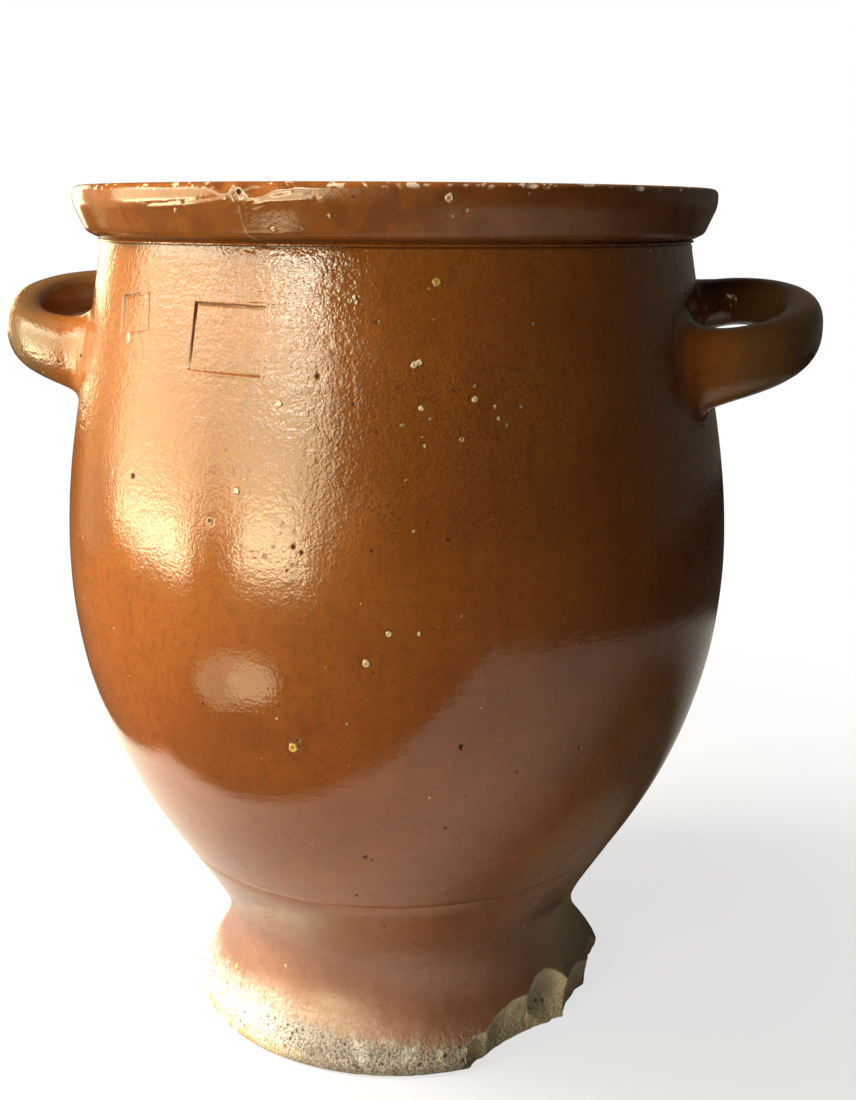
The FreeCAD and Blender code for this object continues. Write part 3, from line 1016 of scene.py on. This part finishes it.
def dent(points, centre, ball, softness):
    """Presses points out of a ball with a soft edge, as a finger does in wet clay."""
    away = points - centre
    gap = np.linalg.norm(away, axis=1)
    hit = gap < ball + softness
    inside = ball - gap[hit]
    push = np.where(inside > softness, inside, (inside + softness) ** 2 / (4 * softness))
    points[hit] += away[hit] * (push / gap[hit])[:, None]


def add_mask(piece, name, values):
    piece.data.attributes.new(name, "FLOAT", "POINT").data.foreach_set("value", values)


def build_pot():
    pot = vessel_object()
    wall_tree = tree_of(pot, turn_outwards=True)
    handles = [handle_object(1), handle_object(-1)]
    handle_trees = [tree_of(handle, turn_outwards=True) for handle in handles]
    for handle in handles:
        union(pot, handle)
    soften_roots(pot, wall_tree, handle_trees)
    refine(pot, near_roots, ROOT_EDGE)
    refine(pot, near_flakes, SCAR_EDGE)
    points = coordinates(pot)
    lost = chip_foot(points)
    pot.data.vertices.foreach_set("co", points.ravel())
    add_mask(pot, "broken", lost)

    tree = tree_of(pot)
    spots = [(*seen_at(tree, x, y), radius, kind) for x, y, radius, kind in PICTURE_SPOTS]
    presses = [(seen_at(tree, x, y)[0], *sizes) for x, y, *sizes in PICTURE_PRESSES]
    lines = [(places_of(tree, pixels), half) for *pixels, half in PICTURE_LINES]
    wrinkles = [places_of(tree, pixels) for pixels in PICTURE_WRINKLES]
    nicks = edge_nicks(tree)
    refine_for_detail(pot, spots, lines, presses, wrinkles, nicks)

    points = coordinates(pot)
    lost = np.empty(len(points))
    pot.data.attributes["broken"].data.foreach_get("value", lost)
    pot.data.attributes.remove(pot.data.attributes["broken"])
    thrown = radius_of(points) > THROWN_INNER_R
    sink(points, thrown, unevenness(points)[thrown])
    incise(points)
    add_runs(points)
    crumble(points)
    masks = {name: np.zeros(len(points)) for name in ("grain", "ochre", "pit")}
    press_squares(points, presses, masks)
    add_wrinkles(points, wrinkles)
    add_spots(points, spots, masks)
    add_lines(points, lines, masks)
    for azimuth, height, ball, depth in RIM_DENTS:
        centre = outwards(azimuth) * (RIM_TOP_R + ball - depth) + np.array((0, 0, TOP_Z + height))
        dent(points, centre, ball, RIM_DENT_SOFTNESS)
    knock_out(points, [ball for _, ball, _ in nicks], lost)
    masks["broken"] = smoothstep(*CLAY_SHOWS, lost)
    pot.data.vertices.foreach_set("co", points.ravel())
    for name, values in masks.items():
        add_mask(pot, name, np.clip(values, 0, 1))
    pot.data.shade_smooth()
    pot.data.set_sharp_from_angle(angle=math.radians(SHARP_ANGLE))
    pot.data.update()
    return pot


# Materials


class Shades:
    """Adds nodes to a node tree. Most methods give back the socket that holds their result."""

    def __init__(self, tree):
        self.tree = tree

    def add(self, kind, *values, **settings):
        """Adds a node with its settings, and feeds the values to its first inputs."""
        made = self.tree.nodes.new("ShaderNode" + kind)
        row, column = divmod(len(self.tree.nodes), 12)
        made.location = (180 * column, -320 * row)
        for name, value in settings.items():
            setattr(made, name, value)
        for socket, value in zip(made.inputs, values):
            self.feed(socket, value)
        return made

    def feed(self, socket, value):
        if isinstance(value, bpy.types.NodeSocket):
            self.tree.links.new(value, socket)
        else:
            socket.default_value = value

    def math(self, operation, *values):
        return self.add("Math", *values, operation=operation).outputs[0]

    def chain(self, operation, values):
        result = values[0]
        for value in values[1:]:
            result = self.math(operation, result, value)
        return result

    def total(self, *values):
        return self.chain("ADD", values)

    def product(self, *values):
        return self.chain("MULTIPLY", values)

    def higher(self, *values):
        return self.chain("MAXIMUM", values)

    def rise(self, value, low, high, at_low=0.0, at_high=1.0):
        """Goes smoothly from at_low to at_high while the value goes from low to high."""
        ends = (value, low, high, at_low, at_high)
        return self.add("MapRange", *ends, interpolation_type="SMOOTHSTEP").outputs["Result"]

    def fall(self, value, low, high):
        """Goes smoothly from 1 to 0 while the value goes from low to high."""
        return self.rise(value, low, high, 1.0, 0.0)

    def hump(self, value, middle, reach):
        """1 at the middle, falling smoothly to 0 at the reach on both sides."""
        return self.fall(self.math("ABSOLUTE", self.math("SUBTRACT", value, middle)), 0.0, reach)

    def stretch(self, place, scale):
        return self.add("VectorMath", place, scale, operation="MULTIPLY").outputs[0]

    def measure(self, operation, *values):
        """A number that is worked out from vectors."""
        return self.add("VectorMath", *values, operation=operation).outputs["Value"]

    def noise(self, place, size, detail=2.0, roughness=0.5):
        """Noise from 0 to 1, whose lumps are about size across."""
        made = self.add("TexNoise", place)
        self.feed(made.inputs["Scale"], 1 / size)
        self.feed(made.inputs["Detail"], detail)
        self.feed(made.inputs["Roughness"], roughness)
        return made.outputs["Fac"]

    def scatter(self, place, spacing):
        """Cells about spacing across: distance from the middle, and two random numbers each."""
        made = self.add("TexVoronoi", place)
        self.feed(made.inputs["Scale"], 1 / spacing)
        split = self.add("SeparateColor", made.outputs["Color"])
        return made.outputs["Distance"], split.outputs[0], split.outputs[1]

    def specks(self, cells, radius, first, last):
        """Round specks up to a radius, counted in cells, in the cells picked from first to last."""
        distance, pick, size = cells
        gap = self.math("DIVIDE", distance, self.math("MULTIPLY", size, radius))
        picked = self.math("GREATER_THAN", pick, first), self.math("LESS_THAN", pick, last)
        return self.product(self.fall(gap, 0.7, 1.1), *picked)

    def mix(self, share, first, second):
        made = self.add("Mix", share, data_type="RGBA")
        for socket, color in zip(made.inputs[6:8], (first, second)):
            self.feed(socket, color if isinstance(color, bpy.types.NodeSocket) else (*color, 1))
        return made.outputs[2]

    def mix_value(self, share, first, second):
        made = self.add("Mix", share, data_type="FLOAT")
        for socket, value in zip(made.inputs[2:4], (first, second)):
            self.feed(socket, value)
        return made.outputs[0]

    def layers(self, color, *layers):
        """Lays colours over a first one, each given after its share."""
        for share, upper in layers:
            color = self.mix(share, color, upper)
        return color

    def mask(self, name):
        return self.add("Attribute", attribute_name=name).outputs["Fac"]


def stoneware_material():
    material = bpy.data.materials.new("stoneware")
    material.use_nodes = True
    shades = Shades(material.node_tree)
    noise_of, rise, fall, hump = shades.noise, shades.rise, shades.fall, shades.hump
    total, product, higher, specks = shades.total, shades.product, shades.higher, shades.specks
    blend = shades.mix_value
    shader = material.node_tree.nodes["Principled BSDF"]
    place = shades.add("TexCoord").outputs["Object"]
    x, y, z = shades.add("SeparateXYZ", place).outputs
    radius = shades.math("SQRT", total(product(x, x), product(y, y)))
    azimuth = shades.math("DEGREES", shades.math("ARCTAN2", x, product(y, -1.0)))
    before_back = fall(azimuth, 125.0, 172.0)
    grain, ochre, pit, chips = (shades.mask(name) for name in ("grain", "ochre", "pit", "broken"))

    def right_of(first, last):
        """Rises from 0 to 1 between two azimuths, and falls back to 0 before the back."""
        return product(rise(azimuth, first, last), before_back)

    # Noise in the glaze, from broad clouds to fine mottling, and runs down and wipes round it
    clouds = noise_of(place, CLOUD_SIZE, 3.0, 0.6)
    rim_clouds = noise_of(place, RIM_CLOUD_SIZE, 2.0, 0.6)
    mottle = noise_of(place, MOTTLE_SIZE, 2.0, 0.65)
    fine = noise_of(place, FINE_SIZE, 1.0, 0.6)
    streaks = noise_of(shades.stretch(place, STREAK_STRETCH), STREAK_SIZE, 2.0, 0.6)
    wipes = noise_of(shades.stretch(place, WIPE_STRETCH), WIPE_SIZE, 2.0, 0.65)

    # Glaze, with specks in it, and painted shade in the grooves beside the bead
    on_rim = rise(z, *TO_RIM)
    # Painted shade: dark lines in the grooves just above and below the bead, on the neck wall only.
    bead_groove_shade = higher(hump(z, NECK_Z, 0.0008), hump(z, BEAD_TOP_Z + 0.0010, 0.0010))
    freckled = product(
        rise(hump(azimuth, 18.0, 27.0), 0.0, 0.45),
        rise(hump(z, 0.277, 0.044), 0.0, 0.45),
        rise(clouds, 0.3, 0.5, 0.4, 1.0),
    )
    freckles = rise(noise_of(place, 0.0011, 1.0, 0.5), 0.57, 0.68)
    cells = shades.scatter(place, SPECK_SPACING)
    glaze = shades.layers(
        GLAZE_RED,
        (rise(total(z, product(clouds, 0.08)), 0.20, 0.31), GLAZE_OLIVE),
        (fall(total(z, product(clouds, 0.05)), 0.07, 0.13), GLAZE_PINK),
        (fall(z, *FROM_FOOT), FOOT_PINK),
        (rise(streaks, 0.45, 0.75, 0.0, 0.17), GLAZE_DARK),
        (rise(mottle, 0.50, 0.68, 0.0, 0.26), GLAZE_DARK),
        (product(on_rim, rise(rim_clouds, 0.46, 0.58), 0.42), GLAZE_DARK),
        (rise(clouds, 0.35, 0.62, 0.36, 0.0), GLAZE_DARK),
        (rise(wipes, 0.52, 0.75, 0.0, 0.10), GLAZE_DARK),
        (rise(fine, 0.50, 0.72, 0.0, 0.30), GLAZE_DARK),
        (product(right_of(55.0, 72.0), fall(z, 0.050, 0.062), 0.75), FOOT_OLIVE),
        (product(rise(radius, 0.1440, 0.162), rise(z, *TO_HANDLE), 0.78), HANDLE_BROWN),
        (product(right_of(5.0, 45.0), on_rim, 0.30), GLAZE_DARK),
        (product(bead_groove_shade, fall(radius, 0.1325, 0.1335), 0.75), SPECK_AND_SHADE_DARK),
        (product(freckles, freckled, 0.50), SPECK_AND_SHADE_DARK),
        (product(specks(cells, 0.115, 0.0, 0.34), 0.85), SPECK_AND_SHADE_DARK),
        (product(specks(cells, 0.090, 0.66, 1.0), rise(z, 0.02, 0.30, 1.0, 0.55)), SPECK_PALE),
    )

    # Crust where the glaze ends on the foot, and a pale veil over the glaze just above it
    grit = noise_of(place, GRIT_SIZE, 3.0, 0.7)
    lumps = noise_of(place, LUMP_SIZE, 2.0, 0.6)
    sand = noise_of(place, SAND_SIZE, 1.0, 0.7)
    ends_at = total(
        0.0068,
        product(hump(azimuth, -20.0, 62.0), 0.0062),
        product(hump(azimuth, 73.0, 9.0), 0.0120),
        product(lumps, 0.0080),
    )
    depth = total(shades.math("SUBTRACT", ends_at, z), product(grit, 0.0045), -0.0037)
    crust = rise(depth, -0.0030, 0.0024)
    veil = product(rise(depth, -0.0120, 0.0), rise(grit, 0.35, 0.62, 0.25, 1.0))
    paler = shades.math("SUBTRACT", 1.0, right_of(-36.0, -8.0))
    veil_color = shades.mix(product(paler, 0.75), CRUST_PINK, CRUST_PALE)
    veil_share = blend(right_of(-10.0, 20.0), 0.70, 0.30)
    glaze = shades.mix(product(veil, veil_share), glaze, veil_color)
    crumb_cells = shades.scatter(place, CRUMB_SPACING)
    crumbs = specks(crumb_cells, 0.60, 0.0, 0.70)
    pale = higher(paler, rise(lumps, 0.50, 0.68, 0.0, 0.6))
    crust_color = shades.layers(
        CRUST_DARK,
        (rise(sand, 0.34, 0.60), CRUST_TAN),
        (product(pale, rise(sand, 0.32, 0.52, 0.25, 0.9)), CRUST_PALE),
        (product(specks(crumb_cells, 0.44, 0.0, 0.42), 0.85), SPECK_AND_SHADE_DARK),
        (rise(mottle, 0.50, 0.64, 0.0, 0.45), CRUST_DARK),
        (product(crumbs, hump(azimuth, 28.0, 10.0), rise(z, 0.004, 0.007), 0.95), SPECK_AND_SHADE_DARK),
        (product(hump(azimuth, -36.0, 34.0), rise(z, 0.009, 0.004), rise(lumps, 0.36, 0.52)), CRUST_ORANGE),
    )

    # Worn and broken places: raw clay in the chips, along the rim's edge and under the foot
    on_edge = product(rise(z, TOP_Z - 0.0028, TOP_Z - 0.0012), rise(radius, 0.1350, 0.1368))
    broken = higher(chips, product(on_edge, rise(noise_of(place, 0.0050, 2.0, 0.7), 0.56, 0.62)))
    bare = higher(broken, product(rise(z, 0.0012, 0.0006), fall(radius, 0.094, 0.0955)))
    clay = shades.layers(
        CLAY_OLIVE,
        (rise(noise_of(place, 0.0055, 3.0, 0.6), 0.35, 0.62), CLAY_TAN),
        (product(specks(crumb_cells, 0.30, 0.0, 0.06), 0.7), SPECK_AND_SHADE_DARK),
        (rise(z, 0.30, 0.34, 0.0, 0.45), GLAZE_DARK),
    )
    # The dark brown blemish colour paints pits, and also painted shadow in the pressed squares' edges and
    # on one side of small grains.
    blemishes = (grain, GRAIN_CREAM), (ochre, GRAIN_OCHRE), (pit, PIT_AND_SHADOW_BROWN)
    color = shades.layers(glaze, (crust, crust_color), (bare, clay), *blemishes)
    shades.feed(shader.inputs["Base Color"], color)

    # Gloss
    gloss = rise(z, 0.200, 0.275, GLOSS_LOW, GLOSS_HIGH)
    gloss = blend(rise(z, 0.312, 0.328), gloss, GLOSS_NECK)
    rim_gloss = blend(right_of(-4.0, 14.0), GLOSS_RIM, GLOSS_RIM_RIGHT)
    gloss = blend(rise(z, *TO_COLLAR), gloss, rim_gloss)
    gloss = blend(fall(z, 0.025, 0.075), gloss, GLOSS_FOOT)
    mottled = product(rise(mottle, 0.35, 0.65, -0.03, 0.05), rise(z, 0.20, 0.30))
    gloss = total(gloss, rise(clouds, 0.3, 0.7, -0.02, 0.05), mottled)
    grains = higher(grain, ochre)
    matt = (veil, GLOSS_VEIL), (crust, GLOSS_CRUST), (bare, GLOSS_CLAY), (grains, GLOSS_GRAIN)
    for share, matt_gloss in (*matt, (pit, GLOSS_PIT)):
        gloss = blend(share, gloss, matt_gloss)
    shades.feed(shader.inputs["Roughness"], gloss)
    shader.inputs["IOR"].default_value = GLAZE_IOR

    # Fine relief, as a height in metres
    relief = total(
        product(mottle, rise(z, 0.21, 0.30, *MOTTLE_RELIEF)),
        product(fine, rise(z, 0.19, 0.30, *FINE_RELIEF)),
        product(streaks, rise(z, 0.10, 0.22, *STREAK_RELIEF)),
        product(wipes, rise(z, 0.24, 0.33, *WIPE_RELIEF)),
    )
    relief = product(relief, rise(z, *TO_COLLAR, 1.0, 0.30))
    stony = total(rise(z, 0.007, 0.020, *CRUST_RELIEF), product(chips, SCAR_RELIEF))
    bump = shades.add("Bump")
    bump.inputs["Distance"].default_value = 1.0
    shades.feed(bump.inputs["Height"], total(relief, product(grit, stony)))
    shades.feed(shader.inputs["Normal"], bump.outputs[0])
    return material


# Stage


def from_camera_side(x, y, z):
    """A place given as the camera sees it, x to its right and y away from it, in the room."""
    turn = math.radians(CAMERA_AZIMUTH)
    ahead, aside = math.cos(turn), math.sin(turn)
    return Vector((x * ahead - y * aside, x * aside + y * ahead, z))


def room_light():
    """A dim room that is lighter behind the pot. The camera sees plain white in its place."""
    world = bpy.data.worlds.new("room")
    bpy.context.scene.world = world
    world.use_nodes = True
    world.node_tree.nodes.clear()
    shades = Shades(world.node_tree)
    way = shades.add("TexCoord").outputs["Generated"]
    behind = shades.measure("DOT_PRODUCT", way, from_camera_side(*ROOM_BRIGHT_WAY).normalized())
    color = shades.mix(shades.rise(behind, 0.35, 0.95), ROOM_DARK, ROOM_BRIGHT)
    color = shades.mix(shades.add("LightPath").outputs["Is Camera Ray"], color, (1.0, 1.0, 1.0))
    background = shades.add("Background", color)
    shades.add("OutputWorld", background.outputs[0])


def make_floor():
    """A pale sheet on darker ground. For the camera it fades to white away from the pot."""
    corners = [(-FLOOR_SIZE, -FLOOR_SIZE, 0), (FLOOR_SIZE, -FLOOR_SIZE, 0)]
    corners += [(FLOOR_SIZE, FLOOR_SIZE, 0), (-FLOOR_SIZE, FLOOR_SIZE, 0)]
    floor = mesh_object("floor", corners, [(0, 1, 2, 3)])
    material = bpy.data.materials.new("pale_table")
    material.use_nodes = True
    material.node_tree.nodes.clear()
    shades = Shades(material.node_tree)
    place = shades.add("TexCoord").outputs["Object"]
    across = shades.measure("DOT_PRODUCT", place, from_camera_side(*SHEET_WAY).normalized())
    right = shades.measure("DOT_PRODUCT", place, from_camera_side(1, 0, 0))
    away = shades.measure("LENGTH", place)
    on_sheet = shades.product(
        shades.rise(across, SHEET_EDGE - 0.012, SHEET_EDGE + 0.012),
        shades.rise(right, SHEET_LEFT - 0.008, SHEET_LEFT + 0.008),
        shades.fall(away, SHEET_END - 0.05, SHEET_END + 0.05),
    )
    from_shade = shades.measure("DISTANCE", place, from_camera_side(*SHADE_PLACE))
    # Painted light: the sheet is made lighter towards the left, where the light falls, and lighter in the
    # pot's shadow beside its foot.
    sheet = shades.layers(
        SHEET_LEFT_PAINTED_LIGHT,
        (shades.rise(right, -0.26, -0.06), SHEET_COLOR),
        (shades.fall(from_shade, 0.04, 0.10), SHADOW_PAINTED_LIGHT),
    )
    to_camera = shades.add("LightPath").outputs["Is Camera Ray"]
    table = shades.mix(on_sheet, GROUND_COLOR, sheet)
    cloth = shades.add("BsdfDiffuse", shades.mix(to_camera, table, TABLE_SEEN_COLOR))
    fade = shades.product(shades.rise(away, FADE_START, FADE_END, FADE_LEAST, 1.0), to_camera)
    white = shades.add("Emission")
    mixed = shades.add("MixShader", fade, cloth.outputs[0], white.outputs[0])
    shades.add("OutputMaterial", mixed.outputs[0])
    floor.data.materials.append(material)


def soft_panel(name, place, aim, width, tall, radiance, color, shape="RECTANGLE", mirrored=True):
    """A soft lamp that faces a point. Its radiance is the brightness of its face."""
    data = bpy.data.lights.new(name, "AREA")
    data.shape = shape
    data.size, data.size_y = width, tall
    data.energy = radiance * math.pi * width * tall
    data.color = color
    panel = bpy.data.objects.new(name, data)
    bpy.context.scene.collection.objects.link(panel)
    panel.location = place
    panel.rotation_mode = "QUATERNION"
    panel.rotation_quaternion = (aim - place).to_track_quat("-Z", "Y")
    panel.visible_camera = False
    panel.visible_glossy = mirrored


def window(name, start, end, low, high, radiance, color):
    """An upright panel over a line on the ground, as the camera sees it, facing the pot's side."""
    first, last = from_camera_side(*start, low), from_camera_side(*end, low)
    middle = (first + last) / 2 + Vector((0, 0, (high - low) / 2))
    along = last - first
    inward = Vector((along.y, -along.x, 0)).normalized()
    if inward.dot(middle) > 0:
        inward = -inward
    soft_panel(name, middle, middle + inward, along.length, high - low, radiance, color)


make_camera()
room_light()
make_floor()
for name, *sizes in WINDOWS:
    window(name, *sizes, WINDOW_COLOR)
for name, *sizes in SKIES:
    window(name, *sizes, SKY_COLOR)
sun_place, sun_aim = from_camera_side(*SUN_PLACE), from_camera_side(*SUN_AIM)
soft_panel("sun", sun_place, sun_aim, *SUN_SIZE, SUN_RADIANCE, SUN_COLOR, mirrored=False)
for name, place, size, radiance in GLOWS:
    aim = from_camera_side(*GLOW_AIM)
    soft_panel(name, from_camera_side(*place), aim, *size, radiance, WINDOW_COLOR, shape="ELLIPSE")

pot = build_pot()
pot.data.materials.append(stoneware_material())
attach(pot, "root")
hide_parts("confit_pot")

scene = bpy.context.scene
scene.view_settings.view_transform = "Standard"
